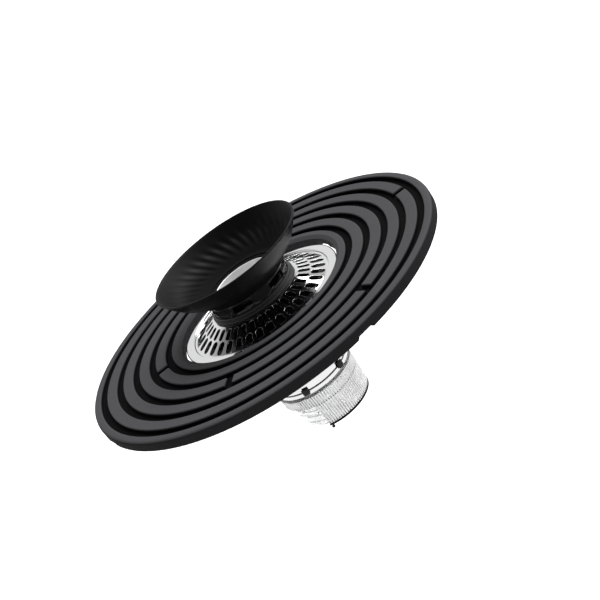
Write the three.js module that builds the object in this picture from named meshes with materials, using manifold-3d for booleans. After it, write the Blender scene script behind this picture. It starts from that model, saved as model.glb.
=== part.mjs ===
// Sink-top waste funnel and drain set: a channelled drain mat round a drain flange, a slotted strainer
// cone with a feed funnel on it, and a clear catch cup hanging below. Millimetres, +Z up.
// The origin is on the drain's axis, in the plane of the sink floor that the mat lies on.

import * as THREE from 'three';
import Module from 'manifold-3d';
import { mergeVertices } from 'three/addons/utils/BufferGeometryUtils.js';

const wasm = await Module();
wasm.setup();

// ---------------------------------------------------------------- fits shared by every piece
const SEAT_GAP = 0.3;          // between two faces that rest on each other
const SLIP = 0.4;              // radial play where one piece slides or turns in another
const WIDE_STEPS = 48;         // facets of a wide ring
const NARROW_STEPS = 32;       // facets of a narrow ring
const PIN_STEPS = 8;           // facets of a screw or a small hole
const OVERCUT = 1;             // how far a cutter runs past the face it opens
const EDGE_TURNS_DEG = [0, 45, 90];
const BOTTOM_TURNS_DEG = [0, 30, 60, 90];

// ---------------------------------------------------------------- drain mat
const MAT_RADIUS = 126;
const MAT_THICKNESS = 7;
const MAT_PLAY = 1.3;          // between the mat's hole and the flange ring
const MAT_EDGE_ROUND = 1.8;
const HOLE_BEVEL_WIDTH = 3;
const HOLE_BEVEL_DEPTH = 1.6;
const CHANNEL_COUNT = 5;
const CHANNEL_WIDTH = 5.2;
const CHANNEL_DRAFT = 0.5;     // how much a channel narrows on each side towards its floor
const CHANNEL_DEPTH = 3;
const OUTER_BAND = 7.9;        // from the mat's edge to the middle of the outer channel
const INNER_BAND = 9.7;        // from the mat's hole to the middle of the inner channel
const GATE_WIDTH = 4.8;
const GATE_FIRST_DEG = 183;    // the gates step round the mat, so water takes the long way in
const GATE_STEP_DEG = 59;
const GATE_SILL = 0.2;         // a gate's floor above the channels' floors
const SKIRT_WIDTH = 5;
const UNDERSIDE_RECESS = 2;
const NOTCH_COUNT = 4;
const NOTCH_WIDTH = 11;
const NOTCH_HEIGHT = 1.8;
const NOTCH_FIRST_DEG = -73.5;

// ---------------------------------------------------------------- flange and drain body
const SINK_RECESS = 2.7;       // depth of the seat pressed into the sink round its hole
const SINK_DECK = 2.2;         // room left between the flange gasket and the clamp for the sink's sheet
const GASKET_THICKNESS = 1.2;
const GASKET_WIDTH = 9;
const FLANGE_RADIUS = 56.7;
const RING_WIDTH = 6.2;
const RING_THICKNESS = 1.9;
const RING_SKIRT = 1;          // wall of the ring's turned-down edge
const RING_ROUND = 0.6;
const BODY_FLANGE_THICKNESS = 1.9;
const BOWL_RADIUS = 43.5;      // outside, so that it passes a 90 mm sink hole
const BOWL_WALL = 2;
const BOWL_DEPTH = 34;
const SHOULDER_DROP = 8;
const NECK_RADIUS = 22.6;
const NECK_WALL = 2;
const NECK_LENGTH = 5;

// ---------------------------------------------------------------- clamp under the sink
const SINK_WASHER_THICKNESS = 3;
const CLAMP_RADIUS = 54;
const FRICTION_WASHER_THICKNESS = 1;
const NUT_HEIGHT = 8;
const NUT_WALL = 6;
const NUT_LUG_COUNT = 8;
const NUT_LUG_WIDTH = 7;
const NUT_LUG_REACH = 5;
const NUT_LUG_INSET = 1;       // nut's top and foot beyond its lugs

// ---------------------------------------------------------------- strainer and what stands on it
const STRAINER_SHEET = 0.9;
const STRAINER_RIM_WIDTH = 1.4;
const STRAINER_RISE = 7.6;     // from the rim's top to the flat crown's top
const CROWN_MARGIN = 0.7;      // flat crown beyond the collar base
const SLOT_COUNT = 36;
const OUTER_SLOT_INSET = 0.5;  // from the cone's foot
const OUTER_SLOT_LENGTH = 8.4;
const OUTER_SLOT_WIDTH = 4.4;
const INNER_SLOT_INSET = 1.4;  // from the crown
const INNER_SLOT_WIDTH = 3.3;
const SLOT_ROW_GAP = 0.5;
const LINER_RADIUS = 20.5;
const LINER_WALL = 0.8;
const LINER_FOOT_REACH = 4.5;
const LINER_FOOT_THICKNESS = 0.7;
const LINER_DROP = 24;         // how far it hangs below the strainer's crown
const BASE_WIDTH = 4.5;
const BASE_STEP = 1.1;
const BASE_LOWER_HEIGHT = 1.9;
const BASE_UPPER_HEIGHT = 1.8;
const COLLAR_INSET = 1;        // collar's outside from the base's upper step
const COLLAR_WALL = 1.8;
const COLLAR_HEIGHT = 7.7;
const COLLAR_TOP_THICKNESS = 1.4;
const WINDOW_COUNT = 6;
const WINDOW_WIDTH = 15;
const WINDOW_SILL = 1.4;
const WINDOW_HEIGHT = 4.4;
const WINDOW_FIRST_DEG = -113;
const SCREW_COUNT = 3;
const SCREW_RADIUS = 1.1;
const SCREW_HEAD_RADIUS = 2.2;
const SCREW_HEAD_HEIGHT = 1.4;
const SCREW_END_COVER = 0.7;   // material left over a screw's blind hole

// ---------------------------------------------------------------- funnel
const FUNNEL_LIP_RADIUS = 51.3;
const FUNNEL_HEIGHT = 21.9;
const FUNNEL_WALL = 1.5;
const FUNNEL_STEPS = 7;        // straight runs that the wall is bent into
const FUNNEL_LIP = 1.1;
const FUNNEL_LIP_HEIGHT = 0.8;
const FUNNEL_SPIGOT_LENGTH = 3;
const FUNNEL_SPIGOT_WALL = 1.4;
const THROAT_STEP_WIDTH = 2.6;
const THROAT_STEP_HEIGHT = 0.7;
const THROAT_THICKNESS = 1.2;
const FUNNEL_BELLY = [0.27, 0.185, 0.67, 0.53]; // reach and rise of the two points that bend the wall

// ---------------------------------------------------------------- outlet, lock ring and cup
const NECK_WASHER_THICKNESS = 1.2;
const OUTLET_WALL = 4.4;
const OUTLET_LIP_HEIGHT = 2.6;
const OUTLET_LIP_REACH = 2.6;
const LOCK_HEIGHT = 3;
const LOCK_PROUD = 0.2;        // lock ring beyond the outlet ring
const LOCK_SPIGOT_LENGTH = 2.8;
const LOCK_SPIGOT_WALL = 1.2;
const SEAL_THICKNESS = 1;
const SEAL_HEIGHT = 1.6;
const TAB_COUNT = 6;
const TAB_WIDTH = 4.6;
const TAB_HEIGHT = 4.6;
const TAB_THICKNESS = 1.1;
const TAB_FIRST_DEG = -113;
const TAB_DROP = 1;            // tab's foot above the lock ring's foot
const CUP_WALL = 1.5;
const CUP_RIM_REACH = 1.9;
const CUP_RIM_HEIGHT = 1.2;
const CUP_HEIGHT = 28.4;
const CUP_TIERS = 3;
const CUP_TIER_HEIGHT = 4.6;
const CUP_TIER_STEP = 0.45;
const CUP_BOTTOM_ROUND = 5;
const CUP_HOLE_COUNT = 8;
const CUP_HOLE_RADIUS = 1.6;
const CUP_HOLE_CIRCLE = 12;
const SLEEVE_WALL_TOP = 3.2;
const SLEEVE_WALL_FOOT = 1.7;
const SLEEVE_HEIGHT = 24.2;
const UPPER_TIER_HEIGHT = 7.6; // sleeve's uncut upper part
const CUTOUT_START_DEG = -205;
const CUTOUT_SPAN_DEG = 90;
const RIM_BAND_HEIGHT = 1.3;
const LUG_RADIUS = 1.2;
const LUG_LENGTH = 2.2;
const LUG_TURN_DEG = 3;        // from the cut-out's edge

// ---------------------------------------------------------------- stack heights, worked out
const deckTop = -SINK_RECESS;
const gasketTop = deckTop + GASKET_THICKNESS;
const bodyFlangeFoot = gasketTop + SEAT_GAP;
const bodyFlangeTop = bodyFlangeFoot + BODY_FLANGE_THICKNESS;
const ringFoot = bodyFlangeTop + SEAT_GAP;
const ringTop = ringFoot + RING_THICKNESS;
const ringBore = FLANGE_RADIUS - RING_WIDTH;
const rimRadius = ringBore - SEAT_GAP;
const rimFoot = bodyFlangeTop + SEAT_GAP;
const coneFootRadius = rimRadius - STRAINER_RIM_WIDTH;
const coneFootTop = rimFoot + STRAINER_SHEET;
const crownTop = coneFootTop + STRAINER_RISE;
const crownFoot = crownTop - STRAINER_SHEET;
const linerFootFoot = crownTop + SEAT_GAP;
const linerFootRadius = LINER_RADIUS + LINER_FOOT_REACH;
const baseFoot = crownTop + SEAT_GAP;
const baseTop = baseFoot + BASE_LOWER_HEIGHT + BASE_UPPER_HEIGHT;
const baseBore = linerFootRadius + SLIP;
const baseRadius = baseBore + BASE_WIDTH;
const collarRadius = baseRadius - BASE_STEP - COLLAR_INSET;
const crownRadius = baseRadius + CROWN_MARGIN;
const collarFoot = baseTop + SEAT_GAP;
const collarTop = collarFoot + COLLAR_HEIGHT;
const funnelSeat = collarTop + SEAT_GAP;
const throatRadius = LINER_RADIUS + SLIP;
const spigotRadius = throatRadius + FUNNEL_SPIGOT_WALL;
const funnelTop = funnelSeat + FUNNEL_HEIGHT;
const throatTop = funnelSeat + THROAT_THICKNESS;
const linerTop = throatTop - SLIP;
const screwCircle = (baseBore + baseRadius) / 2;
const nutBore = BOWL_RADIUS + SLIP;
const sinkWasherTop = deckTop - SINK_DECK;
const sinkWasherFoot = sinkWasherTop - SINK_WASHER_THICKNESS;
const frictionWasherTop = sinkWasherFoot - SEAT_GAP;
const frictionWasherFoot = frictionWasherTop - FRICTION_WASHER_THICKNESS;
const nutTop = frictionWasherFoot - SEAT_GAP;
const shoulderTop = deckTop - BOWL_DEPTH;
const shoulderFoot = shoulderTop - SHOULDER_DROP;
const neckFoot = shoulderFoot - NECK_LENGTH;
const neckWasherTop = neckFoot - SEAT_GAP;
const neckWasherFoot = neckWasherTop - NECK_WASHER_THICKNESS;
const outletBore = NECK_RADIUS + SLIP;
const outletRadius = outletBore + OUTLET_WALL;
const outletLipTop = neckWasherFoot - SEAT_GAP;
const outletFoot = outletLipTop - OUTLET_LIP_HEIGHT;
const outletTop = shoulderFoot - SEAT_GAP;
const lockTop = outletFoot - SLIP;
const lockFoot = lockTop - LOCK_HEIGHT;
const lockRadius = outletRadius + LOCK_PROUD;
const lockBore = outletBore - OUTLET_LIP_REACH;
const lockSpigotRadius = lockBore + LOCK_SPIGOT_WALL;
const sealBore = lockSpigotRadius + SEAT_GAP;
const sealRadius = sealBore + SEAL_THICKNESS;
const cupBore = sealRadius + SEAT_GAP;
const cupRadius = cupBore + CUP_WALL;
const cupTop = lockFoot - SEAT_GAP;
const cupRimFoot = cupTop - CUP_RIM_HEIGHT;
const cupFoot = cupTop - CUP_HEIGHT;
const sleeveTop = cupRimFoot - SEAT_GAP;
const sleeveFoot = sleeveTop - SLEEVE_HEIGHT;
const sleeveBore = cupRadius + SLIP;
const sleeveTopRadius = sleeveBore + SLEEVE_WALL_TOP;
const sleeveFootRadius = sleeveBore + SLEEVE_WALL_FOOT;
const rimBandTop = sleeveFoot - SEAT_GAP;
const rimBandFoot = rimBandTop - RIM_BAND_HEIGHT;

// ---------------------------------------------------------------- shape helpers
function radians(degrees) {
  return THREE.MathUtils.degToRad(degrees);
}

// Turns a closed outline of [radius, height] points, listed anticlockwise, round the Z axis.
function revolve(outline, steps) {
  const points = [...outline, outline[0]].map(([radius, height]) => new THREE.Vector2(radius, height));
  return new THREE.LatheGeometry(points, steps).rotateX(Math.PI / 2);
}

// A plain ring with a rectangular section.
function ring(bore, radius, foot, top, steps = NARROW_STEPS) {
  return revolve([[bore, foot], [radius, foot], [radius, top], [bore, top]], steps);
}

// A block whose inner face is at a radius, turned round the axis to an angle.
function radialBlock(inner, outer, width, foot, top, degrees) {
  const block = new THREE.BoxGeometry(outer - inner, width, top - foot);
  block.translate((inner + outer) / 2, 0, (foot + top) / 2);
  return block.rotateZ(radians(degrees));
}

// An upright peg or drill at a radius and an angle.
function peg(radius, foot, top, circle, degrees, steps = PIN_STEPS) {
  const shape = new THREE.CylinderGeometry(radius, radius, top - foot, steps).rotateX(Math.PI / 2);
  shape.translate(circle, 0, (foot + top) / 2);
  return shape.rotateZ(radians(degrees));
}

// An upright slot cutter with round ends, long way along the radius.
function radialSlot(middle, length, width, foot, top, degrees) {
  const half = (length - width) / 2;
  const outline = new THREE.Shape();
  outline.absarc(middle + half, 0, width / 2, -Math.PI / 2, Math.PI / 2);
  outline.absarc(middle - half, 0, width / 2, Math.PI / 2, Math.PI * 1.5);
  const settings = { depth: top - foot, bevelEnabled: false, curveSegments: 2 };
  return new THREE.ExtrudeGeometry(outline, settings).translate(0, 0, foot).rotateZ(radians(degrees));
}

// A wedge of a disc between two angles, for cutting a gap in a ring.
function wedge(radius, foot, top, startDegrees, spanDegrees) {
  const outline = new THREE.Shape();
  outline.moveTo(0, 0);
  outline.absarc(0, 0, radius, radians(startDegrees), radians(startDegrees + spanDegrees));
  outline.closePath();
  const settings = { depth: top - foot, bevelEnabled: false, curveSegments: NARROW_STEPS };
  return new THREE.ExtrudeGeometry(outline, settings).translate(0, 0, foot);
}

function toSolid(geometry) {
  const bare = geometry.clone();
  bare.deleteAttribute('normal');
  bare.deleteAttribute('uv');
  const merged = mergeVertices(bare, 1e-4);
  const vertProperties = new Float32Array(merged.attributes.position.array);
  const triVerts = new Uint32Array(merged.index.array);
  return new wasm.Manifold(new wasm.Mesh({ numProp: 3, vertProperties, triVerts }));
}

function toGeometry(solid) {
  const mesh = solid.getMesh();
  const geometry = new THREE.BufferGeometry();
  geometry.setAttribute('position', new THREE.BufferAttribute(mesh.vertProperties, 3));
  geometry.setIndex(new THREE.BufferAttribute(mesh.triVerts, 1));
  geometry.computeVertexNormals();
  return geometry;
}

// Adds and then cuts away lists of shapes from a first shape.
function shaped(base, { add = [], cut = [] }) {
  let solid = toSolid(base);
  for (const shape of add) {
    solid = solid.add(toSolid(shape));
  }
  for (const shape of cut) {
    solid = solid.subtract(toSolid(shape));
  }
  return toGeometry(solid);
}

// ---------------------------------------------------------------- materials
function finish(color, roughness, metalness, opacity = 1) {
  return new THREE.MeshStandardMaterial({ color, roughness, metalness, opacity, transparent: opacity < 1 });
}

const FINISHES = {
  matRubber: () => finish(0x515154, 0.75, 0),
  sealRubber: () => finish(0x17171a, 0.85, 0),
  mirrorSteel: () => finish(0xe2e4e6, 0.08, 1),
  linerSteel: () => finish(0xcfd1d3, 0.3, 1),
  blackPlastic: () => finish(0x1b1b1d, 0.6, 0),
  glossBlack: () => finish(0x0e0e10, 0.2, 0),
  funnelBlack: () => finish(0x1a1a1c, 0.45, 0),
  clearPlastic: () => finish(0xeef2f4, 0.08, 0, 0.35),
};

const set = new THREE.Group();

function addPiece(name, geometry, makeFinish) {
  const mesh = new THREE.Mesh(geometry, makeFinish());
  mesh.name = name;
  set.add(mesh);
}

// ---------------------------------------------------------------- drain mat
const matHole = FLANGE_RADIUS + MAT_PLAY;
const firstChannel = matHole + INNER_BAND;
const channelPitch = (MAT_RADIUS - OUTER_BAND - firstChannel) / (CHANNEL_COUNT - 1);

function channelRadius(index) {
  return firstChannel + channelPitch * index;
}

function matOutline() {
  const skirt = MAT_RADIUS - SKIRT_WIDTH;
  const foot = matHole + SKIRT_WIDTH;
  const outline = [[matHole, 0], [foot, 0], [foot, UNDERSIDE_RECESS], [skirt, UNDERSIDE_RECESS], [skirt, 0]];
  outline.push([MAT_RADIUS, 0]);
  for (const turn of EDGE_TURNS_DEG) {
    const across = MAT_RADIUS - MAT_EDGE_ROUND * (1 - Math.cos(radians(turn)));
    const up = MAT_THICKNESS - MAT_EDGE_ROUND * (1 - Math.sin(radians(turn)));
    outline.push([across, up]);
  }
  for (let index = CHANNEL_COUNT - 1; index >= 0; index -= 1) {
    const middle = channelRadius(index);
    const mouth = CHANNEL_WIDTH / 2;
    const floor = mouth - CHANNEL_DRAFT;
    outline.push([middle + mouth, MAT_THICKNESS], [middle + floor, MAT_THICKNESS - CHANNEL_DEPTH]);
    outline.push([middle - floor, MAT_THICKNESS - CHANNEL_DEPTH], [middle - mouth, MAT_THICKNESS]);
  }
  outline.push([matHole + HOLE_BEVEL_WIDTH, MAT_THICKNESS], [matHole, MAT_THICKNESS - HOLE_BEVEL_DEPTH]);
  return outline;
}

function makeMat() {
  const cut = [];
  const gateFloor = MAT_THICKNESS - CHANNEL_DEPTH + GATE_SILL;
  for (let index = 0; index < CHANNEL_COUNT - 1; index += 1) {
    const turn = GATE_FIRST_DEG + GATE_STEP_DEG * index;
    const top = MAT_THICKNESS + OVERCUT;
    cut.push(radialBlock(channelRadius(index), channelRadius(index + 1), GATE_WIDTH, gateFloor, top, turn));
  }
  for (let index = 0; index < NOTCH_COUNT; index += 1) {
    const turn = NOTCH_FIRST_DEG + (360 / NOTCH_COUNT) * index;
    const skirt = MAT_RADIUS - SKIRT_WIDTH - OVERCUT;
    const foot = matHole + SKIRT_WIDTH + OVERCUT;
    cut.push(radialBlock(skirt, MAT_RADIUS + OVERCUT, NOTCH_WIDTH, -OVERCUT, NOTCH_HEIGHT, turn));
    cut.push(radialBlock(matHole - OVERCUT, foot, NOTCH_WIDTH, -OVERCUT, NOTCH_HEIGHT, turn));
  }
  return shaped(revolve(matOutline(), WIDE_STEPS), { cut });
}

addPiece('drain_mat', makeMat(), FINISHES.matRubber);

// ---------------------------------------------------------------- flange ring, gasket, drain body
function makeFlangeRing() {
  const skirtBore = FLANGE_RADIUS - RING_SKIRT;
  return revolve([
    [ringBore, ringFoot], [skirtBore, ringFoot], [skirtBore, bodyFlangeFoot], [FLANGE_RADIUS, bodyFlangeFoot],
    [FLANGE_RADIUS, ringTop - RING_ROUND], [FLANGE_RADIUS - RING_ROUND, ringTop],
    [ringBore + RING_ROUND, ringTop], [ringBore, ringTop - RING_ROUND],
  ], WIDE_STEPS);
}

function makeDrainBody() {
  const flangeRadius = FLANGE_RADIUS - RING_SKIRT - SEAT_GAP;
  const bowlBore = BOWL_RADIUS - BOWL_WALL;
  const neckBore = NECK_RADIUS - NECK_WALL;
  return revolve([
    [neckBore, neckFoot], [NECK_RADIUS, neckFoot], [NECK_RADIUS, shoulderFoot], [BOWL_RADIUS, shoulderTop],
    [BOWL_RADIUS, bodyFlangeFoot], [flangeRadius, bodyFlangeFoot], [flangeRadius, bodyFlangeTop],
    [bowlBore, bodyFlangeTop], [bowlBore, shoulderTop + BOWL_WALL], [neckBore, shoulderFoot + NECK_WALL],
  ], WIDE_STEPS);
}

function makeLockNut() {
  const radius = nutBore + NUT_WALL;
  const foot = nutTop - NUT_HEIGHT;
  const add = [];
  for (let index = 0; index < NUT_LUG_COUNT; index += 1) {
    const turn = (360 / NUT_LUG_COUNT) * index;
    const root = radius - NUT_WALL / 2;
    const end = radius + NUT_LUG_REACH;
    add.push(radialBlock(root, end, NUT_LUG_WIDTH, foot + NUT_LUG_INSET, nutTop - NUT_LUG_INSET, turn));
  }
  return shaped(ring(nutBore, radius, foot, nutTop, WIDE_STEPS), { add });
}

const gasketBore = BOWL_RADIUS + SLIP;
addPiece('flange_ring', makeFlangeRing(), FINISHES.mirrorSteel);
const gasketRadius = gasketBore + GASKET_WIDTH;
addPiece('flange_gasket', ring(gasketBore, gasketRadius, deckTop, gasketTop), FINISHES.sealRubber);
addPiece('drain_body', makeDrainBody(), FINISHES.blackPlastic);
addPiece('sink_washer', ring(nutBore, CLAMP_RADIUS, sinkWasherFoot, sinkWasherTop), FINISHES.sealRubber);
addPiece('friction_washer', ring(nutBore, CLAMP_RADIUS, frictionWasherFoot, frictionWasherTop),
  FINISHES.blackPlastic);
addPiece('lock_nut', makeLockNut(), FINISHES.blackPlastic);

// ---------------------------------------------------------------- strainer cone
function makeStrainer() {
  const outline = [
    [coneFootRadius, rimFoot], [rimRadius, rimFoot], [rimRadius, coneFootTop], [coneFootRadius, coneFootTop],
    [crownRadius, crownTop], [throatRadius, crownTop], [throatRadius, crownFoot], [crownRadius, crownFoot],
  ];
  const outerEnd = coneFootRadius - OUTER_SLOT_INSET;
  const outerStart = outerEnd - OUTER_SLOT_LENGTH;
  const innerStart = crownRadius + INNER_SLOT_INSET;
  const innerEnd = outerStart - SLOT_ROW_GAP;
  const rows = [
    { start: outerStart, end: outerEnd, width: OUTER_SLOT_WIDTH, shift: 0.5 },
    { start: innerStart, end: innerEnd, width: INNER_SLOT_WIDTH, shift: 0 },
  ];
  const cut = [];
  for (const { start, end, width, shift } of rows) {
    for (let index = 0; index < SLOT_COUNT; index += 1) {
      const turn = (360 / SLOT_COUNT) * (index + shift);
      cut.push(radialSlot((start + end) / 2, end - start, width, rimFoot - OVERCUT, crownTop + OVERCUT, turn));
    }
  }
  for (let index = 0; index < SCREW_COUNT; index += 1) {
    const turn = (360 / SCREW_COUNT) * index;
    cut.push(peg(SCREW_RADIUS + SLIP, crownFoot - OVERCUT, crownTop + OVERCUT, screwCircle, turn));
  }
  return shaped(revolve(outline, SLOT_COUNT), { cut });
}

addPiece('strainer_cone', makeStrainer(), FINISHES.mirrorSteel);

// ---------------------------------------------------------------- liner, collar base, collar, screws
function makeLiner() {
  const bore = LINER_RADIUS - LINER_WALL;
  const footTop = linerFootFoot + LINER_FOOT_THICKNESS;
  const end = crownTop - LINER_DROP;
  return revolve([
    [bore, end], [LINER_RADIUS, end], [LINER_RADIUS, linerFootFoot], [linerFootRadius, linerFootFoot],
    [linerFootRadius, footTop], [LINER_RADIUS, footTop], [LINER_RADIUS, linerTop], [bore, linerTop],
  ], NARROW_STEPS);
}

function makeCollarBase() {
  const step = baseFoot + BASE_LOWER_HEIGHT;
  const outline = [
    [baseBore, baseFoot], [baseRadius, baseFoot], [baseRadius, step],
    [baseRadius - BASE_STEP, step], [baseRadius - BASE_STEP, baseTop], [baseBore, baseTop],
  ];
  const cut = [];
  for (let index = 0; index < SCREW_COUNT; index += 1) {
    const turn = (360 / SCREW_COUNT) * index;
    const end = baseTop - SCREW_END_COVER;
    cut.push(peg(SCREW_RADIUS + SEAT_GAP, baseFoot - OVERCUT, end, screwCircle, turn));
  }
  return shaped(revolve(outline, NARROW_STEPS), { cut });
}

function makeCollar() {
  const bore = collarRadius - COLLAR_WALL;
  const topFoot = collarTop - COLLAR_TOP_THICKNESS;
  const seat = spigotRadius + SLIP;
  const outline = [
    [bore, collarFoot], [collarRadius, collarFoot], [collarRadius, collarTop],
    [seat, collarTop], [seat, topFoot], [bore, topFoot],
  ];
  const sill = collarFoot + WINDOW_SILL;
  const cut = [];
  for (let index = 0; index < WINDOW_COUNT; index += 1) {
    const turn = WINDOW_FIRST_DEG + (360 / WINDOW_COUNT) * index;
    const inner = spigotRadius;
    const outer = collarRadius + OVERCUT;
    cut.push(radialBlock(inner, outer, WINDOW_WIDTH, sill, sill + WINDOW_HEIGHT, turn));
  }
  return shaped(revolve(outline, NARROW_STEPS), { cut });
}

function makeScrew(degrees) {
  const headTop = crownFoot - SEAT_GAP;
  const end = baseTop - SCREW_END_COVER - SEAT_GAP;
  const head = peg(SCREW_HEAD_RADIUS, headTop - SCREW_HEAD_HEIGHT, headTop, screwCircle, degrees);
  const shank = peg(SCREW_RADIUS, headTop - SCREW_HEAD_HEIGHT / 2, end, screwCircle, degrees);
  return shaped(head, { add: [shank] });
}

addPiece('throat_liner', makeLiner(), FINISHES.linerSteel);
addPiece('collar_base', makeCollarBase(), FINISHES.sealRubber);
addPiece('funnel_collar', makeCollar(), FINISHES.glossBlack);
for (let index = 0; index < SCREW_COUNT; index += 1) {
  addPiece(`collar_screw_${index + 1}`, makeScrew((360 / SCREW_COUNT) * index), FINISHES.linerSteel);
}

// ---------------------------------------------------------------- funnel
// The wall sweeps from the seat to the lip on one bent curve; the inside follows it a wall in.
function makeFunnel() {
  const reach = FUNNEL_LIP_RADIUS - collarRadius;
  const rise = FUNNEL_HEIGHT - FUNNEL_LIP_HEIGHT;
  const [lowReach, lowRise, highReach, highRise] = FUNNEL_BELLY;
  const outside = new THREE.SplineCurve([
    new THREE.Vector2(collarRadius, funnelSeat),
    new THREE.Vector2(collarRadius + reach * lowReach, funnelSeat + rise * lowRise),
    new THREE.Vector2(collarRadius + reach * highReach, funnelSeat + rise * highRise),
    new THREE.Vector2(FUNNEL_LIP_RADIUS, funnelSeat + rise),
  ]).getPoints(FUNNEL_STEPS);
  const inside = [];
  for (let index = 1; index < outside.length - 1; index += 1) {
    const run = outside[index + 1].clone().sub(outside[index - 1]).normalize();
    inside.unshift([outside[index].x - run.y * FUNNEL_WALL, outside[index].y + run.x * FUNNEL_WALL]);
  }
  const stepRadius = throatRadius + THROAT_STEP_WIDTH;
  const outline = [
    [throatRadius, funnelSeat - FUNNEL_SPIGOT_LENGTH], [spigotRadius, funnelSeat - FUNNEL_SPIGOT_LENGTH],
    [spigotRadius, funnelSeat], ...outside.map((point) => [point.x, point.y]),
    [FUNNEL_LIP_RADIUS, funnelTop], [FUNNEL_LIP_RADIUS - FUNNEL_LIP, funnelTop], ...inside,
    [stepRadius, throatTop + THROAT_STEP_HEIGHT], [stepRadius, throatTop], [throatRadius, throatTop],
  ];
  return revolve(outline, WIDE_STEPS);
}

addPiece('funnel', makeFunnel(), FINISHES.funnelBlack);

// ---------------------------------------------------------------- outlet ring and lock ring
function makeOutletRing() {
  const lipBore = outletBore - OUTLET_LIP_REACH;
  return revolve([
    [lipBore, outletFoot], [outletRadius, outletFoot], [outletRadius, outletTop],
    [outletBore, outletTop], [outletBore, outletLipTop], [lipBore, outletLipTop],
  ], NARROW_STEPS);
}

function makeLockRing() {
  const spigotFoot = lockFoot - LOCK_SPIGOT_LENGTH;
  return revolve([
    [lockBore, spigotFoot], [lockSpigotRadius, spigotFoot], [lockSpigotRadius, lockFoot],
    [lockRadius, lockFoot], [lockRadius, lockTop], [lockBore, lockTop],
  ], NARROW_STEPS);
}

const tabInner = lockRadius + SEAT_GAP;
const tabFoot = lockFoot + TAB_DROP;
const sealTop = lockFoot - SEAT_GAP;
addPiece('neck_washer', ring(NECK_RADIUS - NECK_WALL, NECK_RADIUS, neckWasherFoot, neckWasherTop),
  FINISHES.sealRubber);
addPiece('outlet_ring', makeOutletRing(), FINISHES.mirrorSteel);
addPiece('lock_ring', makeLockRing(), FINISHES.mirrorSteel);
addPiece('cup_seal', ring(sealBore, sealRadius, sealTop - SEAL_HEIGHT, sealTop), FINISHES.sealRubber);
for (let index = 0; index < TAB_COUNT; index += 1) {
  const turn = TAB_FIRST_DEG + (360 / TAB_COUNT) * index;
  const tab = radialBlock(tabInner, tabInner + TAB_THICKNESS, TAB_WIDTH, tabFoot, tabFoot + TAB_HEIGHT, turn);
  addPiece(`lock_tab_${index + 1}`, tab, FINISHES.sealRubber);
}

// ---------------------------------------------------------------- sleeve, rim band, cup and lug
function makeSleeve() {
  const outline = [
    [sleeveBore, sleeveFoot], [sleeveFootRadius, sleeveFoot], [sleeveTopRadius, sleeveTop],
    [sleeveBore, sleeveTop],
  ];
  const cutTop = sleeveTop - UPPER_TIER_HEIGHT;
  const reach = sleeveTopRadius + OVERCUT;
  const cut = [wedge(reach, sleeveFoot - OVERCUT, cutTop, CUTOUT_START_DEG, CUTOUT_SPAN_DEG)];
  return shaped(revolve(outline, NARROW_STEPS), { cut });
}

function makeRimBand() {
  const reach = sleeveFootRadius + OVERCUT;
  const cut = [wedge(reach, rimBandFoot - OVERCUT, rimBandTop + OVERCUT, CUTOUT_START_DEG, CUTOUT_SPAN_DEG)];
  return shaped(ring(sleeveBore, sleeveFootRadius, rimBandFoot, rimBandTop), { cut });
}

function makeCup() {
  const outline = [];
  const floor = cupFoot + CUP_WALL;
  const roundOuter = cupRadius - CUP_TIER_STEP * CUP_TIERS;
  const roundInner = roundOuter - CUP_WALL;
  outline.push([CUP_HOLE_RADIUS, cupFoot]);
  for (const turn of BOTTOM_TURNS_DEG) {
    const across = roundOuter - CUP_BOTTOM_ROUND * (1 - Math.sin(radians(turn)));
    outline.push([across, cupFoot + CUP_BOTTOM_ROUND * (1 - Math.cos(radians(turn)))]);
  }
  const tiersTop = cupFoot + CUP_BOTTOM_ROUND + CUP_TIER_HEIGHT * CUP_TIERS;
  for (let tier = CUP_TIERS - 1; tier >= 0; tier -= 1) {
    const height = tiersTop - CUP_TIER_HEIGHT * tier;
    outline.push([cupRadius - CUP_TIER_STEP * (tier + 1), height], [cupRadius - CUP_TIER_STEP * tier, height]);
  }
  outline.push([cupRadius, cupRimFoot], [cupRadius + CUP_RIM_REACH, cupRimFoot]);
  outline.push([cupRadius + CUP_RIM_REACH, cupTop], [cupBore, cupTop]);
  outline.push([cupBore, tiersTop], [roundInner, cupFoot + CUP_BOTTOM_ROUND], [roundInner - CUP_WALL, floor]);
  outline.push([CUP_HOLE_RADIUS, floor]);
  const cut = [];
  for (let index = 0; index < CUP_HOLE_COUNT; index += 1) {
    const turn = (360 / CUP_HOLE_COUNT) * index;
    cut.push(peg(CUP_HOLE_RADIUS, cupFoot - OVERCUT, floor + OVERCUT, CUP_HOLE_CIRCLE, turn));
  }
  return shaped(revolve(outline, NARROW_STEPS), { cut });
}

const lugCircle = (sleeveBore + sleeveFootRadius) / 2;
const lugTop = rimBandFoot - SEAT_GAP;
const lugTurn = CUTOUT_START_DEG + CUTOUT_SPAN_DEG + LUG_TURN_DEG;
addPiece('grip_sleeve', makeSleeve(), FINISHES.clearPlastic);
addPiece('sleeve_rim', makeRimBand(), FINISHES.sealRubber);
addPiece('catch_cup', makeCup(), FINISHES.clearPlastic);
addPiece('stop_lug', peg(LUG_RADIUS, lugTop - LUG_LENGTH, lugTop, lugCircle, lugTurn), FINISHES.sealRubber);

export default set;
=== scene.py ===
"""Looks for a sink-top waste funnel and drain set: a channelled drain mat round a polished flange, a slotted
strainer cone, a black feed funnel on its collar, and a clear ribbed catch cup below. Metres, +Z up."""
import math

import bmesh
import bpy
from mathutils import Matrix, Vector


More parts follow.
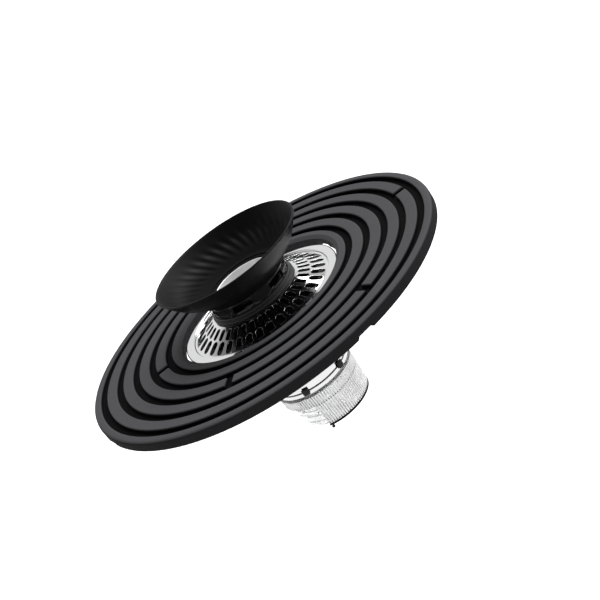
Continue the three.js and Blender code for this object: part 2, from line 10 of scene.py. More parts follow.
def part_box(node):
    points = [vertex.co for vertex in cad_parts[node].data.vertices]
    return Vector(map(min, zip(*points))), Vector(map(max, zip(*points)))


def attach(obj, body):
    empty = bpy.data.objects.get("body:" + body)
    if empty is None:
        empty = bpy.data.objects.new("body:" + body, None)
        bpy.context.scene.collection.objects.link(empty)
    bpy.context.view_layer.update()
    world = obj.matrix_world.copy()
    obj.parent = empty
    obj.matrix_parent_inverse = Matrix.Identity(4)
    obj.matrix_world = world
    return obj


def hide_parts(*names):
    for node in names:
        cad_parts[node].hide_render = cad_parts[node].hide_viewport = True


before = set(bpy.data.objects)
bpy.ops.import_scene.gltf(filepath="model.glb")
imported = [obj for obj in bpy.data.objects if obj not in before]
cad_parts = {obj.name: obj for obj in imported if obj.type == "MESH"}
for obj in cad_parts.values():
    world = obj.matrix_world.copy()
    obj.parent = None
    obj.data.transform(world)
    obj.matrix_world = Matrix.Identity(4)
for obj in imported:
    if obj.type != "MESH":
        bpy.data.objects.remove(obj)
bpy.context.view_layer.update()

MM = 0.001
FULL_TURN = 2 * math.pi

# Sizes in mm that both a finish and a shape need.
RIBS = 96                     # grip ribs round the sleeve
MAT_HOLE = 58.0
LINER_RADIUS = 20.5
TIER_HEIGHT = 7.6             # the sleeve's upper tier
CUP_TIER = 4.6
CUP_ROUND = 5.0               # the round at the foot of the cup's wall


def mm(value):
    return value * MM


def span(node):
    """A CAD node's outer radius, foot and top."""
    low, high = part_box(node)
    return high.x, low.z, high.z


def span_mm(node):
    return [value / MM for value in span(node)]


MAT_RADIUS = span("drain_mat")[0]
MAT_TOP = span("drain_mat")[2]
SLEEVE_FOOT, SLEEVE_TOP = span("grip_sleeve")[1:]
CUP_FOOT = span("catch_cup")[1]
FUNNEL_FOOT = span("funnel")[1]


# ------------------------------------------------------------------ camera, light and floor
CAMERA_ELEVATION = math.radians(21.67)
CAMERA_DISTANCE = 0.731
CAMERA_ROLL = math.radians(-36.77)
CAMERA_LENS = 69.8            # mm on a 36 mm wide sensor
AIM_ACROSS = 0.0274           # the view's middle from the mat's middle, along the view's width
AIM_UP = -0.0019              # and along its height
FLOOR_DROP = 0.35             # the set hangs from its sink, so the floor is well below it
FLOOR_SIZE = 40
WALL_TOP = 0.42               # height of the room's bright wall, as the sine of its elevation
CEILING = 0.66                # where the ceiling is at its dimmest, in the same measure
WALL_LIGHT = 0.8
CEILING_LIGHT = 0.2
FRONT_FROM = -0.85            # the dim side lies towards -Y and fades out by FRONT_TO
FRONT_TO = 0.1
FRONT_LIGHT = 0.35            # share of the room's light that the dim side keeps
KEY_SIDE = (0.75, 0.35, 1.2)
KEY_SOFTNESS = math.radians(60)
KEY_STRENGTH = 5.2


def make_camera():
    backward = Vector((0, -math.cos(CAMERA_ELEVATION), math.sin(CAMERA_ELEVATION)))
    level = Vector((1, 0, 0))
    upward = backward.cross(level)
    turn = Matrix.Rotation(CAMERA_ROLL, 3, backward)
    right, up = turn @ level, turn @ upward
    target = Vector((0, 0, MAT_TOP))
    eye = target + backward * CAMERA_DISTANCE
    aim = target + right * AIM_ACROSS + up * AIM_UP
    swing = (-backward).rotation_difference((aim - eye).normalized())
    axes = Matrix((right, up, backward)).transposed()
    camera = bpy.data.objects.new("camera", bpy.data.cameras.new("camera"))
    camera.data.lens = CAMERA_LENS
    camera.data.sensor_width = 36
    camera.data.clip_start = 0.01
    camera.matrix_world = Matrix.Translation(eye) @ (swing.to_matrix() @ axes).to_4x4()
    bpy.context.collection.objects.link(camera)
    bpy.context.scene.camera = camera


def make_light(name, side, softness, strength):
    """A far lamp that shines from the given side towards the set."""
    lamp = bpy.data.lights.new(name, "SUN")
    lamp.angle = softness
    lamp.energy = strength
    light = bpy.data.objects.new(name, lamp)
    light.location = side
    light.rotation_euler = (-Vector(side)).to_track_quat("-Z", "Y").to_euler()
    bpy.context.collection.objects.link(light)


def make_world():
    """A white room with a dimmer ceiling and a dim side behind the viewer, so that black pieces keep
    their shape."""
    world = bpy.data.worlds.new("studio")
    world.use_nodes = True
    nodes, links = world.node_tree.nodes, world.node_tree.links
    heading = nodes.new("ShaderNodeTexCoord")
    split = nodes.new("ShaderNodeSeparateXYZ")
    links.new(heading.outputs["Generated"], split.inputs["Vector"])
    both = nodes.new("ShaderNodeMath")
    both.operation = "MULTIPLY"
    fades = (("Z", WALL_TOP, CEILING, WALL_LIGHT, CEILING_LIGHT),
             ("Y", FRONT_FROM, FRONT_TO, FRONT_LIGHT, 1.0))
    for index, (axis, *values) in enumerate(fades):
        fade = nodes.new("ShaderNodeMapRange")
        fade.interpolation_type = "SMOOTHSTEP"
        for socket, value in zip(("From Min", "From Max", "To Min", "To Max"), values):
            fade.inputs[socket].default_value = value
        links.new(split.outputs[axis], fade.inputs["Value"])
        links.new(fade.outputs["Result"], both.inputs[index])
    links.new(both.outputs["Value"], nodes["Background"].inputs["Strength"])
    nodes["Background"].inputs["Color"].default_value = (1, 1, 1, 1)
    bpy.context.scene.world = world


def make_stage():
    make_world()
    bpy.context.scene.view_settings.view_transform = "Standard"
    make_light("key", KEY_SIDE, KEY_SOFTNESS, KEY_STRENGTH)
    bm = bmesh.new()
    bmesh.ops.create_grid(bm, x_segments=1, y_segments=1, size=FLOOR_SIZE)
    bmesh.ops.translate(bm, vec=(0, 0, -FLOOR_DROP), verts=bm.verts)
    floor = into_object(bm, "floor")
    floor.data.materials.append(floor_finish())


# ------------------------------------------------------------------ shader helpers
class Term:
    """A shader value that can be used in plain arithmetic."""

    def __init__(self, paint, socket):
        self.paint = paint
        self.socket = socket

    def __add__(self, other):
        return self.paint.maths("ADD", self, other)

    __radd__ = __add__

    def __sub__(self, other):
        return self.paint.maths("SUBTRACT", self, other)

    def __rsub__(self, other):
        return self.paint.maths("SUBTRACT", other, self)

    def __mul__(self, other):
        return self.paint.maths("MULTIPLY", self, other)

    __rmul__ = __mul__

    def __truediv__(self, other):
        return self.paint.maths("DIVIDE", self, other)

    def power(self, exponent):
        return self.paint.maths("POWER", self, exponent)


class Paint:
    """One material: a Principled shader and the nodes that feed it."""

    def __init__(self, name, color, roughness, metallic=0.0):
        self.material = bpy.data.materials.new(name)
        self.material.use_nodes = True
        self.tree = self.material.node_tree
        self.shader = self.tree.nodes["Principled BSDF"]
        self.set("Base Color", (*color, 1))
        self.set("Roughness", roughness)
        self.set("Metallic", metallic)

    def feed(self, socket, value):
        if isinstance(value, Term):
            self.tree.links.new(value.socket, socket)
        else:
            socket.default_value = value

    def set(self, socket, value):
        self.feed(self.shader.inputs[socket], value)

    def node(self, kind, settings, inputs, output):
        made = self.tree.nodes.new(kind)
        for key, value in settings.items():
            setattr(made, key, value)
        for key, value in inputs.items():
            self.feed(made.inputs[key], value)
        return Term(self, made.outputs[output])

    def maths(self, operation, first, second=0.0):
        return self.node("ShaderNodeMath", {"operation": operation}, {0: first, 1: second}, "Value")

    def place(self):
        return self.node("ShaderNodeTexCoord", {}, {}, "Object")

    def along(self, axis):
        return self.node("ShaderNodeSeparateXYZ", {}, {"Vector": self.place()}, axis)

    def out(self):
        """Distance from the Z axis."""
        across, deep = self.along("X"), self.along("Y")
        return (across * across + deep * deep).power(0.5)

    def noise(self, scale, detail=3, roughness=0.5, stretch=(1, 1, 1)):
        spot = self.node("ShaderNodeMapping", {}, {"Vector": self.place(), "Scale": stretch}, "Vector")
        inputs = {"Vector": spot, "Scale": scale, "Detail": detail, "Roughness": roughness}
        return self.node("ShaderNodeTexNoise", {}, inputs, 0)

    def ease(self, value, start, end, low=0.0, high=1.0):
        inputs = {"Value": value, "From Min": start, "From Max": end, "To Min": low, "To Max": high}
        return self.node("ShaderNodeMapRange", {"interpolation_type": "SMOOTHSTEP"}, inputs, "Result")

    def between(self, factor, first, second):
        return self.node("ShaderNodeMix", {"data_type": "RGBA"}, {0: factor, 6: first, 7: second}, 2)

    def blend(self, factor, first, second):
        return self.between(factor, (*first, 1), (*second, 1))

    def bump(self, height, strength, distance):
        inputs = {"Height": height, "Strength": strength, "Distance": distance}
        self.set("Normal", self.node("ShaderNodeBump", {}, inputs, "Normal"))

    def rings(self, scale):
        """Fine turning marks round the Z axis."""
        inputs = {"Vector": self.place(), "Scale": scale, "Distortion": 0.6, "Detail": 2.0}
        settings = {"wave_type": "RINGS", "rings_direction": "Z"}
        return self.node("ShaderNodeTexWave", settings, inputs, 1)


def floor_finish():
    paint = Paint("floor_paint", (0.97, 0.97, 0.97), 0.9)
    paint.set("Specular IOR Level", 0.1)
    return paint.material


def mat_rubber():
    """Grey moulded rubber, its own grey on the rib tops. The channels and the outer wall get painted shade,
    near black. Painted light lifts the hole's bevel and wall back to the rib-top grey.
    """
    paint = Paint("mat_rubber", (0.07, 0.07, 0.073), 0.62)
    grain = paint.noise(1500, 4, 0.65)
    cloud = paint.noise(38, 3)
    # Painted shade: below the rib tops the grey gives way to the dark channel colour.
    top = paint.ease(paint.along("Z"), MAT_TOP - mm(1.3), MAT_TOP - mm(0.25))
    hole = paint.ease(paint.out(), mm(MAT_HOLE) + mm(5), mm(MAT_HOLE) + mm(3))
    lit = top * (0.35 + cloud * 0.2 + grain * 1.05)
    wall = paint.ease(paint.out(), MAT_RADIUS - mm(1.5), MAT_RADIUS - mm(0.4))
    # The painted shade's colour, darkest on the outer wall.
    deep = paint.blend(wall, (0.002, 0.002, 0.0022), (0.013, 0.013, 0.014))
    rib = paint.between(lit, deep, (0.054, 0.054, 0.057, 1))
    # Painted light on the hole's bevel and wall, a touch above the rib-top grey.
    paint.set("Base Color", paint.between(hole, rib, (0.056, 0.056, 0.059, 1)))
    paint.set("Roughness", 0.82 + grain * 0.1 + cloud * 0.05 - top * 0.2)
    paint.set("Specular IOR Level", 0.04)
    paint.bump(grain, 0.35, 0.00012)
    return paint.material


def black_rubber():
    paint = Paint("black_rubber", (0.008, 0.008, 0.009), 0.6)
    grain = paint.noise(1800, 4, 0.6)
    cloud = paint.noise(60)
    paint.set("Base Color", paint.blend(cloud, (0.006, 0.006, 0.0065), (0.013, 0.013, 0.014)))
    paint.set("Roughness", 0.48 + grain * 0.2)
    paint.set("Specular IOR Level", 0.15)
    paint.bump(grain, 0.3, 0.0001)
    return paint.material


def moulded_black(name, shade, shine, grain_scale, depth, gleam):
    """Black moulded plastic, from satin to glossy."""
    paint = Paint(name, (shade, shade, shade), shine)
    grain = paint.noise(grain_scale, 4, 0.6)
    cloud = paint.noise(45)
    paint.set("Base Color", paint.blend(cloud, (shade * 0.65,) * 3, (shade * 1.4, shade * 1.4, shade * 1.5)))
    paint.set("Roughness", shine + grain * 0.08 + cloud * 0.06)
    paint.set("Specular IOR Level", gleam)
    paint.bump(grain, 0.25, depth)
    return paint.material


def funnel_black():
    """Fine black plastic, duller towards the throat."""
    paint = Paint("funnel_black", (0.003, 0.003, 0.003), 0.5)
    grain = paint.noise(2200, 4, 0.6)
    cloud = paint.noise(45)
    low = paint.ease(paint.along("Z"), FUNNEL_FOOT + mm(16), FUNNEL_FOOT + mm(7))
    paint.set("Base Color", paint.blend(cloud, (0.002, 0.002, 0.0022), (0.0042, 0.0042, 0.0045)))
    paint.set("Roughness", 0.42 + grain * 0.08 + cloud * 0.05 + low * 0.4)
    paint.set("Specular IOR Level", 0.08)
    paint.bump(grain, 0.25, 0.00005)
    return paint.material


def polished_steel(name, shade, shine):
    """Polished stainless steel with the faintest turning marks."""
    paint = Paint(name, (shade, shade, shade), shine, 1.0)
    marks = paint.rings(9000)
    cloud = paint.noise(55)
    paint.set("Roughness", shine + marks * 0.02 + cloud * 0.05)
    bright = (shade * 1.04, shade * 1.045, shade * 1.05)
    paint.set("Base Color", paint.blend(cloud, (shade * 0.96,) * 3, bright))
    paint.bump(cloud, 0.04, 0.00008)
    return paint.material


def brushed_liner():
    """Steel tube: pale satin in its bore, dark and polished on its outside."""
    paint = Paint("brushed_liner", (0.92, 0.92, 0.92), 0.35)
    marks = paint.noise(300, 3, 0.6, (1, 1, 14))
    outside = paint.ease(paint.out(), mm(LINER_RADIUS) - mm(0.5), mm(LINER_RADIUS) - mm(0.2))
    paint.set("Roughness", 0.26 + marks * 0.22 - outside * 0.2)
    paint.set("Metallic", 0.25 + outside * 0.75)
    pale = paint.blend(marks, (0.88, 0.88, 0.885), (0.97, 0.97, 0.97))
    paint.set("Base Color", paint.between(outside, pale, (0.5, 0.5, 0.51, 1)))
    paint.bump(marks, 0.08, 0.00005)
    return paint.material


def clear_plastic():
    """Clear moulded plastic with faint flow waves and a painted shade line along each tier's step."""
    paint = Paint("clear_plastic", (0.985, 0.99, 0.99), 0.02)
    wave = paint.noise(120, 2)
    speck = paint.noise(900, 3)
    paint.set("Roughness", 0.02 + speck * 0.06)
    level = (paint.along("Z") - (CUP_FOOT + mm(CUP_ROUND))) / mm(CUP_TIER)
    nearest = paint.maths("ABSOLUTE", level - paint.maths("ROUND", level))
    # Painted shade: a dark line along each tier's step, patchy with the flow waves.
    edge = paint.ease(nearest, 0.12, 0.03) * (0.35 + 0.65 * paint.ease(wave, 0.4, 0.6))
    clear = paint.blend(wave, (0.95, 0.955, 0.957), (0.985, 0.988, 0.99))
    paint.set("Base Color", paint.between(edge, clear, (0.16, 0.16, 0.165, 1)))
    paint.set("Transmission Weight", 0.85)
    paint.set("IOR", 1.4)
    paint.bump(wave, 0.12, 0.0002)
    return paint.material


def ribbed_plastic():
    """The same plastic with a grip of fine grooves and painted shade: dark lines where the grooves are
    deepest, dots along the tier seam, and dashes on the -X side and near the foot.
    """
    paint = Paint("ribbed_plastic", (0.95, 0.95, 0.95), 0.1)
    turn = paint.maths("ARCTAN2", paint.along("Y"), paint.along("X"))
    # Painted shade follows the grooves, darkest where they are deepest.
    groove = (0.5 + 0.5 * paint.maths("COSINE", turn * RIBS)).power(6)
    patchy = paint.ease(paint.noise(110, 2), 0.42, 0.6)
    speck = paint.noise(900, 3)
    # Painted shade in dots where the ribs meet the tier seam.
    seam = paint.maths("ABSOLUTE", paint.along("Z") - (SLEEVE_TOP - mm(TIER_HEIGHT)))
    dots = paint.ease(seam, mm(0.6), mm(0.3)) * groove.power(0.15)
    # Painted shade in dashes on the -X side and on the ribs' ends near the foot.
    shady = paint.ease(paint.along("X"), mm(6), -mm(20))
    ends = paint.ease(paint.along("Z"), SLEEVE_FOOT + mm(2.2), SLEEVE_FOOT + mm(0.6))
    dashes = paint.ease(groove, 0.05, 0.6) * (shady * paint.ease(paint.noise(260, 2), 0.42, 0.55) + ends)
    lines = paint.maths("MAXIMUM", groove * (0.15 + 0.6 * patchy), dots)
    painted_shade_mask = paint.maths("MINIMUM", paint.maths("MAXIMUM", lines, dashes), 1.0)
    # White plastic under the painted shade.
    paint.set("Base Color", paint.blend(painted_shade_mask, (1.0, 1.0, 1.0), (0.06, 0.06, 0.065)))
    paint.set("Roughness", 0.06 + speck * 0.1)
    paint.set("Transmission Weight", 0.3)
    paint.set("IOR", 1.25)
    paint.bump(speck, 0.06, 0.0001)
    return paint.material


# ------------------------------------------------------------------ mesh helpers
MERGE = 1e-6                  # vertices closer than this, in metres, are one


def into_object(bm, name):
    mesh = bpy.data.meshes.new(name)
    bm.to_mesh(mesh)
    bm.free()
    made = bpy.data.objects.new(name, mesh)
    bpy.context.collection.objects.link(made)
    return made


def finish_piece(bm, name, body, nodes, finish, sharp=40):
    """Turns a bmesh into a named piece that rides on a body and stands for its CAD nodes."""
    bmesh.ops.remove_doubles(bm, verts=bm.verts, dist=MERGE)
    bmesh.ops.recalc_face_normals(bm, faces=bm.faces)
    for face in bm.faces:
        face.smooth = True
    for edge in bm.edges:
        edge.smooth = len(edge.link_faces) != 2 or edge.calc_face_angle(0) < math.radians(sharp)
    piece = into_object(bm, name)
    piece.data.materials.append(FINISHES[finish])
    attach(piece, body)
    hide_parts(*nodes)
    return piece


def softened(outline, radius, steps=4, hold=0.12):
    """An outline, in mm, with each corner rounded and a point held just past each end of the round. A point
    may carry its own radius as a third number."""
    soft = []
    for index, corner in enumerate(outline):
        here = Vector(corner[:2])
        before = Vector(outline[index - 1][:2]) - here
        after = Vector(outline[(index + 1) % len(outline)][:2]) - here
        own = corner[2] if len(corner) > 2 else radius
        half = before.angle(after) / 2
        if own <= 0 or half > math.radians(88):
            soft.append(here)
            continue
        reach = min(own / math.tan(half), 0.42 * before.length, 0.42 * after.length)
        start, end = here + before.normalized() * reach, here + after.normalized() * reach
        centre = here + (before.normalized() + after.normalized()).normalized() * reach / math.cos(half)
        extra = min(hold, 0.4 * reach + 0.02)
        if before.length > 3 * (reach + extra):
            soft.append(here + before.normalized() * (reach + extra))
        arm, last = start - centre, end - centre
        sweep = arm.angle_signed(last)
        for step in range(steps + 1):
            soft.append(centre + Matrix.Rotation(-sweep * step / steps, 2) @ arm)
        if after.length > 3 * (reach + extra):
            soft.append(here + after.normalized() * (reach + extra))
    return soft


def section(bm, points, turn=0.0, closed=True):
    """Draws an outline of (radius, height) points in mm as edges, turned round Z."""
    verts = [bm.verts.new((mm(p[0]), 0, mm(p[1]))) for p in points]
    pairs = list(zip(verts, verts[1:])) + ([(verts[-1], verts[0])] if closed else [])
    edges = [bm.edges.new(pair) for pair in pairs]
    bmesh.ops.rotate(bm, verts=verts, cent=(0, 0, 0), matrix=Matrix.Rotation(turn, 3, "Z"))
    return verts + edges


def spin(bm, geometry, angle, steps):
    """Sweeps edges round Z and gives back the last ones, so that sweeps can follow each other. A full turn
    closes on itself."""
    done = bmesh.ops.spin(bm, geom=geometry, cent=(0, 0, 0), axis=(0, 0, 1), dvec=(0, 0, 0), angle=angle,
                          steps=steps, use_merge=angle == FULL_TURN, use_normal_flip=False,
                          use_duplicate=False)
    return done["geom_last"]


def close_ends(bm):
    """Caps the two ends of a part turn."""
    bmesh.ops.remove_doubles(bm, verts=bm.verts, dist=MERGE)
    bmesh.ops.holes_fill(bm, edges=[edge for edge in bm.edges if edge.is_boundary])


def turned(name, outline, body, nodes, finish, radius=0.3, steps=160, round_steps=4, sharp=40):
    """A piece turned from one closed section."""
    bm = bmesh.new()
    spin(bm, section(bm, softened(outline, radius, round_steps)), FULL_TURN, steps)
    return finish_piece(bm, name, body, nodes, finish, sharp)


def smooth(value):
    value = min(max(value, 0.0), 1.0)
    return value * value * (3 - 2 * value)


def off_axis(vert):
    """A vertex's radius in mm and its angle."""
    return math.hypot(vert.co.x, vert.co.y) / MM, math.atan2(vert.co.y, vert.co.x)


def turn_between(angle, other):
    return abs((angle - other + math.pi) % FULL_TURN - math.pi)


def round_axis(angle, radius, height):
    """The point at a radius and a height in mm."""
    return mm(radius) * math.cos(angle), mm(radius) * math.sin(angle), mm(height)


def set_radius(vert, radius):
    angle = off_axis(vert)[1]
    vert.co.x = mm(radius) * math.cos(angle)
    vert.co.y = mm(radius) * math.sin(angle)


def slot_outline(middle, length, width, side=8):
    """A round-ended slot, or a round hole where length is width, as (angle, radius) points in step with a
    tile's rim."""
    half, end = (length - width) / 2, width / 2
    points = []
    for step in range(4 * side):
        turn = FULL_TURN * step / (4 * side) - math.pi * 0.75
        across, along = end * math.cos(turn), end * math.sin(turn)
        radius = middle + along + math.copysign(half, along if abs(along) > 1e-9 else -1)
        points.append((across / radius, radius))
    return points


def holed_band(bm, place, tiles, first, width, low, high, hole, side=8):
    """A band of equal tiles round Z, each with one hole. place(angle, level) gives a point; hole is a list of
    (angle, level) points from the tile's middle, four times side of them, from its low left corner on."""
    half = width / 2
    corners = [(-half, low), (half, low), (half, high), (-half, high)]
    rim = []
    for index, (angle, level) in enumerate(corners):
        end_angle, end_level = corners[(index + 1) % 4]
        for step in range(side):
            share = step / side
            rim.append((angle + (end_angle - angle) * share, level + (end_level - level) * share))
    for tile in range(tiles):
        middle = first + tile * width
        loops = []
        for points in (rim, hole):
            verts = [bm.verts.new(place(middle + angle, level)) for angle, level in points]
            loops.append([bm.edges.new(pair) for pair in zip(verts, verts[1:] + verts[:1])])
        bmesh.ops.bridge_loops(bm, edges=loops[0] + loops[1])


def add_wall(piece, wall, edge):
    """Gives a surface its wall, on its inner side, then rounds its hard edges."""
    solid = piece.modifiers.new("wall", "SOLIDIFY")
    solid.thickness = mm(wall)
    solid.offset = -1
    solid.use_even_offset = True
    bevel = piece.modifiers.new("edge", "BEVEL")
    bevel.width = mm(edge)
    bevel.segments = 2
    bevel.limit_method = "ANGLE"
    bevel.angle_limit = math.radians(50)
    bevel.harden_normals = True


# ------------------------------------------------------------------ finishes by name
FINISHES = {
    "mat_rubber": mat_rubber(),
    "black_rubber": black_rubber(),
    "body_black": moulded_black("body_black", 0.0065, 0.42, 1500, 0.0001, 0.4),
    "funnel_black": funnel_black(),
    "base_black": moulded_black("base_black", 0.028, 0.4, 1500, 0.00005, 0.4),
    "gloss_black": moulded_black("gloss_black", 0.016, 0.06, 700, 0.00002, 0.4),
    "polished_steel": polished_steel("polished_steel", 0.865, 0.035),
    "satin_steel": polished_steel("satin_steel", 0.56, 0.12),
    "brushed_liner": brushed_liner(),
    "clear_plastic": clear_plastic(),
    "ribbed_plastic": ribbed_plastic(),
}


# ------------------------------------------------------------------ drain mat
MAT_EDGE_ROUND = 1.8
CHANNELS = 5
CHANNEL_HALF = 2.6
CHANNEL_FLOOR_HALF = 2.1
CHANNEL_DEPTH = 3.0
OUTER_BAND = 7.9              # from the mat's edge to the middle of the outer channel
INNER_BAND = 9.7              # from the mat's hole to the middle of the inner channel
HOLE_BEVEL_WIDTH = 3.0
HOLE_BEVEL_DEPTH = 1.6
GATE_HALF = 2.4
GATE_FIRST = math.radians(183)
GATE_STEP = math.radians(59)
GATE_EASE = 0.55              # half the width of the slope at a gate's side
GATE_SILL = 0.2               # a gate's floor above the channels' floors
GATE_SPREAD = math.radians(3.2), math.radians(0.16)    # finely swept turn each way, and its step
SKIRT = 5.0
RECESS = 2.0
NOTCHES = 4
NOTCH_HALF = 5.5
NOTCH_HEIGHT = 1.8
NOTCH_EASE = 0.5
NOTCH_FIRST = math.radians(-73.5)
NOTCH_SPREAD = math.radians(6), math.radians(0.4)
COARSE_STEP = math.radians(2)


def make_mat():
    radius, top = MAT_RADIUS / MM, MAT_TOP / MM
    inner = MAT_HOLE + INNER_BAND
    pitch = (radius - OUTER_BAND - inner) / (CHANNELS - 1)
    middles = [inner + pitch * index for index in range(CHANNELS)]
    outline = [(MAT_HOLE, 0), (MAT_HOLE + SKIRT, 0), (MAT_HOLE + SKIRT, RECESS), (radius - SKIRT, RECESS)]
    outline += [(radius - SKIRT, 0), (radius, 0), (radius, top, MAT_EDGE_ROUND)]
    floor = top - CHANNEL_DEPTH
    for middle in reversed(middles):
        outline += [(middle + CHANNEL_HALF, top, 0.7), (middle + CHANNEL_FLOOR_HALF, floor, 0.6)]
        outline += [(middle - CHANNEL_FLOOR_HALF, floor, 0.6), (middle - CHANNEL_HALF, top, 0.7)]
    outline += [(MAT_HOLE + HOLE_BEVEL_WIDTH, top, 0.8), (MAT_HOLE, top - HOLE_BEVEL_DEPTH, 0.5)]
    gates = [GATE_FIRST + GATE_STEP * index for index in range(CHANNELS - 1)]
    notches = [NOTCH_FIRST + FULL_TURN / NOTCHES * index for index in range(NOTCHES)]
    fine = [(gate % FULL_TURN, *GATE_SPREAD) for gate in gates]
    fine = sorted(fine + [(notch % FULL_TURN, *NOTCH_SPREAD) for notch in notches])
    bm = bmesh.new()
    start = fine[0][0] - fine[0][1]
    edges = section(bm, softened(outline, 0.4, 3), start)
    at = start
    for centre, half, step in fine:
        if centre - half > at:
            gap = centre - half - at
            edges = spin(bm, edges, gap, max(1, round(gap / COARSE_STEP)))
        edges = spin(bm, edges, half * 2, round(half * 2 / step))
        at = centre + half
    rest = start + FULL_TURN - at
    spin(bm, edges, rest, max(1, round(rest / COARSE_STEP)))
    for vert in bm.verts:
        at, angle = off_axis(vert)
        height = vert.co.z / MM
        for index, gate in enumerate(gates):
            across = at * math.sin(min(turn_between(angle, gate), math.pi / 2))
            if height > floor and middles[index] < at < middles[index + 1] and across < GATE_HALF + GATE_EASE:
                keep = smooth((across - GATE_HALF + GATE_EASE) / (2 * GATE_EASE))
                vert.co.z = mm(floor + GATE_SILL + (height - floor - GATE_SILL) * keep)
        for notch in notches:
            across = at * math.sin(min(turn_between(angle, notch), math.pi / 2))
            if height < NOTCH_HEIGHT and across < NOTCH_HALF:
                share = smooth((NOTCH_HALF - across) / NOTCH_EASE)
                vert.co.z = mm(height + (NOTCH_HEIGHT - height) * share)
    finish_piece(bm, "drain_mat_ribs", "mat", ["drain_mat"], "mat_rubber", 75)


# ------------------------------------------------------------------ flange ring, drain body, sink clamp
RING_BORE = 50.5
RING_THICKNESS = 1.9
RING_SKIRT = 1                # wall of the ring's turned-down edge
BOWL_RADIUS = 43.5
BOWL_WALL = 2.0
THREAD_PITCH = 2.2
THREAD_DEPTH = 0.7
NECK_BORE = 20.6
NECK_RADIUS = 22.6
NECK_LENGTH = 5.0
SHOULDER_DROP = 8.0
BODY_FLANGE = 1.9
THREAD_FOOT = 3.0             # from the shoulder to the first ridge
THREAD_HEAD = 12.0            # from the last ridge to the flange
GASKET_BORE = 43.9


def make_flange_ring():
    radius, foot, top = span_mm("flange_ring")
    plate = top - RING_THICKNESS
    skirt = radius - RING_SKIRT
    outline = [(RING_BORE, plate), (skirt, plate), (skirt, foot), (radius, foot), (radius, top, 0.9)]
    outline += [(RING_BORE, top, 0.7)]
    turned("flange_ring_polished", outline, "drain", ["flange_ring"], "polished_steel", 0.2,
           240)


def make_drain_body():
    radius, foot, top = span_mm("drain_body")
    shoulder_foot = foot + NECK_LENGTH
    shoulder_top = shoulder_foot + SHOULDER_DROP
    flange_foot = top - BODY_FLANGE
    outline = [(NECK_BORE, foot), (NECK_RADIUS, foot), (NECK_RADIUS, shoulder_foot, 1.5)]
    outline += [(BOWL_RADIUS, shoulder_top, 2.5)]
    level = shoulder_top + THREAD_FOOT
    while level < flange_foot - THREAD_HEAD:
        outline += [(BOWL_RADIUS - THREAD_DEPTH, level, 0.2), (BOWL_RADIUS, level + THREAD_PITCH / 2, 0.3)]
        level += THREAD_PITCH
    outline += [(BOWL_RADIUS, level), (BOWL_RADIUS, flange_foot), (radius, flange_foot), (radius, top)]
    outline += [(BOWL_RADIUS - BOWL_WALL, top, 0.8), (BOWL_RADIUS - BOWL_WALL, shoulder_top + BOWL_WALL, 2)]
    outline += [(NECK_BORE, shoulder_foot + BOWL_WALL, 1.5)]
    turned("drain_body_bowl", outline, "drain", ["drain_body"], "body_black", 0.3, 160, 3)


def make_washer(node, bore, body, finish, soft=0.3):
    radius, foot, top = span_mm(node)
    outline = [(bore, foot), (radius, foot), (radius, top), (bore, top)]
    turned(node + "_ring", outline, body, [node], finish, soft, 120)


NUT_BORE = 43.9
NUT_RADIUS = 49.9
NUT_STEPS = 480
NUT_LUGS = 8
LUG_HALF = 3.5
LUG_REACH = 5.0
LUG_INSET = 1.0               # the nut's top and foot beyond its lugs


def make_lock_nut():
    foot, top = span_mm("lock_nut")[1:]
    outline = [(NUT_BORE, foot), (NUT_RADIUS, foot), (NUT_RADIUS, foot + LUG_INSET, 0.2)]
    outline += [(NUT_RADIUS, top - LUG_INSET, 0.2), (NUT_RADIUS, top), (NUT_BORE, top)]
    bm = bmesh.new()
    spin(bm, section(bm, softened(outline, 0.5, 3)), FULL_TURN, NUT_STEPS)
    for vert in bm.verts:
        at, angle = off_axis(vert)
        if at > NUT_RADIUS - 0.8:
            apart = min(turn_between(angle, FULL_TURN * index / NUT_LUGS) for index in range(NUT_LUGS))
            inside = smooth((LUG_HALF + 0.3 - at * math.sin(apart)) / 0.7)
            within = min(vert.co.z / MM - foot, top - vert.co.z / MM)
            set_radius(vert, at + LUG_REACH * inside * smooth((within - 0.45) / 0.4))
    finish_piece(bm, "lock_nut_lugged", "drain", ["lock_nut"], "body_black")


# ------------------------------------------------------------------ strainer cone
SLOTS = 36
SLOT_TILE = FULL_TURN / SLOTS
CROWN_RADIUS = 30.6
CONE_FOOT = 48.8
RIM_RADIUS = 50.2
SHEET = 0.9
SHEET_EDGE = 0.3
CROWN_TOP = span_mm("strainer_cone")[2]
CONE_FOOT_TOP = span_mm("strainer_cone")[1] + SHEET
CROWN_ROUND = 1.2
FOOT_ROUND = 1.0
ROWS_IN = CROWN_RADIUS + 0.4  # where the two rows of slots begin and end
ROWS_OUT = CONE_FOOT - 0.5
ROW_EDGE = 39.65              # between the two rows
THROAT_BORE = 20.9
OUTER_SLOT = (44.1, 8.4, 4.8)     # middle, length and width
INNER_SLOT = (35.7, 7.4, 3.6)


def cone_height(radius):
    return CONE_FOOT_TOP + (CROWN_TOP - CONE_FOOT_TOP) * (CONE_FOOT - radius) / (CONE_FOOT - CROWN_RADIUS)


def on_cone(angle, radius):
    return round_axis(angle, radius, cone_height(radius))


